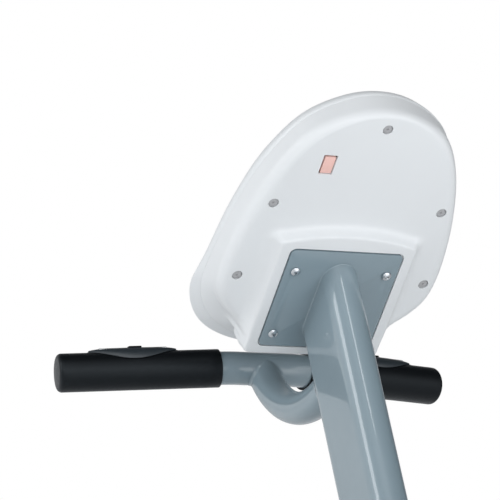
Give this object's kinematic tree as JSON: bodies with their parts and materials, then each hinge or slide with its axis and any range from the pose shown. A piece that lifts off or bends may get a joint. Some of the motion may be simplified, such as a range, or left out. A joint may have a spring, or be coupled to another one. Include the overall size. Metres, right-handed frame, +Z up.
{
  "type": "exercise machine console and handlebar mast",
  "caption": "Leaning flat-oval mast with a bolted display console, press keys and a fixed handlebar with pulse grips on a bent support tube.",
  "frame": {"origin": "centre of the foot flange's underside, where the mast's axis crosses it", "axes": "+Z up, +Y away from the user (the mast leans back towards the user, -Y), X across the machine"},
  "size_m": [0.4104, 0.4608, 0.5709],
  "materials": {
    "steel_paint": "gloss blue-grey powder coat",
    "white_plastic": "satin moulded plastic, cool off-white",
    "grey_plastic": "matt grey moulded plastic",
    "screw_grey": "matt grey coated screw",
    "grip_foam": "closed-cell foam with a smooth skin",
    "dark_plastic": "satin dark grey moulded plastic",
    "pink_plastic": "satin salmon-pink insert",
    "window": "smoked clear acrylic",
    "lcd": "grey-green liquid crystal panel",
    "board": "green solder mask on glass fibre",
    "chrome": "bright zinc or chrome plating",
    "stainless": "brushed stainless steel",
    "cable": "black cable sheath"
  },
  "bodies": {
    "frame": {"bar_end_plug_left": "dark_plastic", "bar_end_plug_right": "dark_plastic", "board_header": "dark_plastic", "buzzer": "dark_plastic", "case_screw_1": "screw_grey", "case_screw_2": "screw_grey", "case_screw_3": "screw_grey", "case_screw_4": "screw_grey", "case_screw_5": "screw_grey", "console_back_shell": "white_plastic", "console_front_shell": "white_plastic", "console_plate": "steel_paint", "display_lead": "cable", "display_window": "window", "foot_flange": "steel_paint", "grip_left": "grip_foam", "grip_right": "grip_foam", "handlebar_support": "steel_paint", "handlebar_tube": "steel_paint", "key_switch_1": "dark_plastic", "key_switch_2": "dark_plastic", "key_switch_3": "dark_plastic", "key_switch_4": "dark_plastic", "key_switch_5": "dark_plastic", "lcd_panel": "lcd", "lead_plug": "white_plastic", "main_board": "board", "mast_tube": "steel_paint", "plate_nut_1": "chrome", "plate_nut_2": "chrome", "plate_nut_3": "chrome", "plate_nut_4": "chrome", "plate_screw_1": "chrome", "plate_screw_2": "chrome", "plate_screw_3": "chrome", "plate_screw_4": "chrome", "port_insert": "pink_plastic", "pulse_contact_left_inner": "stainless", "pulse_contact_left_outer": "stainless", "pulse_contact_right_inner": "stainless", "pulse_contact_right_outer": "stainless", "pulse_lead_left": "cable", "pulse_lead_right": "cable", "pulse_pad_left": "dark_plastic", "pulse_pad_right": "dark_plastic"},
    "key_1": {"key_1": "grey_plastic"},
    "key_2": {"key_2": "grey_plastic"},
    "key_3": {"key_3": "grey_plastic"},
    "key_4": {"key_4": "grey_plastic"},
    "key_5": {"key_5": "grey_plastic"}
  },
  "joints": [
    {"name": "key_1_press", "type": "slide", "parent": "frame", "child": "key_1", "axis": [0, 0.7193, -0.6947], "range_m": [0, 0.001], "stiffness_N_per_m": 1200},
    {"name": "key_2_press", "type": "slide", "parent": "frame", "child": "key_2", "axis": [0, 0.7193, -0.6947], "range_m": [0, 0.001], "stiffness_N_per_m": 1200},
    {"name": "key_3_press", "type": "slide", "parent": "frame", "child": "key_3", "axis": [0, 0.7193, -0.6947], "range_m": [0, 0.001], "stiffness_N_per_m": 1200},
    {"name": "key_4_press", "type": "slide", "parent": "frame", "child": "key_4", "axis": [0, 0.7193, -0.6947], "range_m": [0, 0.001], "stiffness_N_per_m": 1200},
    {"name": "key_5_press", "type": "slide", "parent": "frame", "child": "key_5", "axis": [0, 0.7193, -0.6947], "range_m": [0, 0.001], "stiffness_N_per_m": 1200}
  ]
}
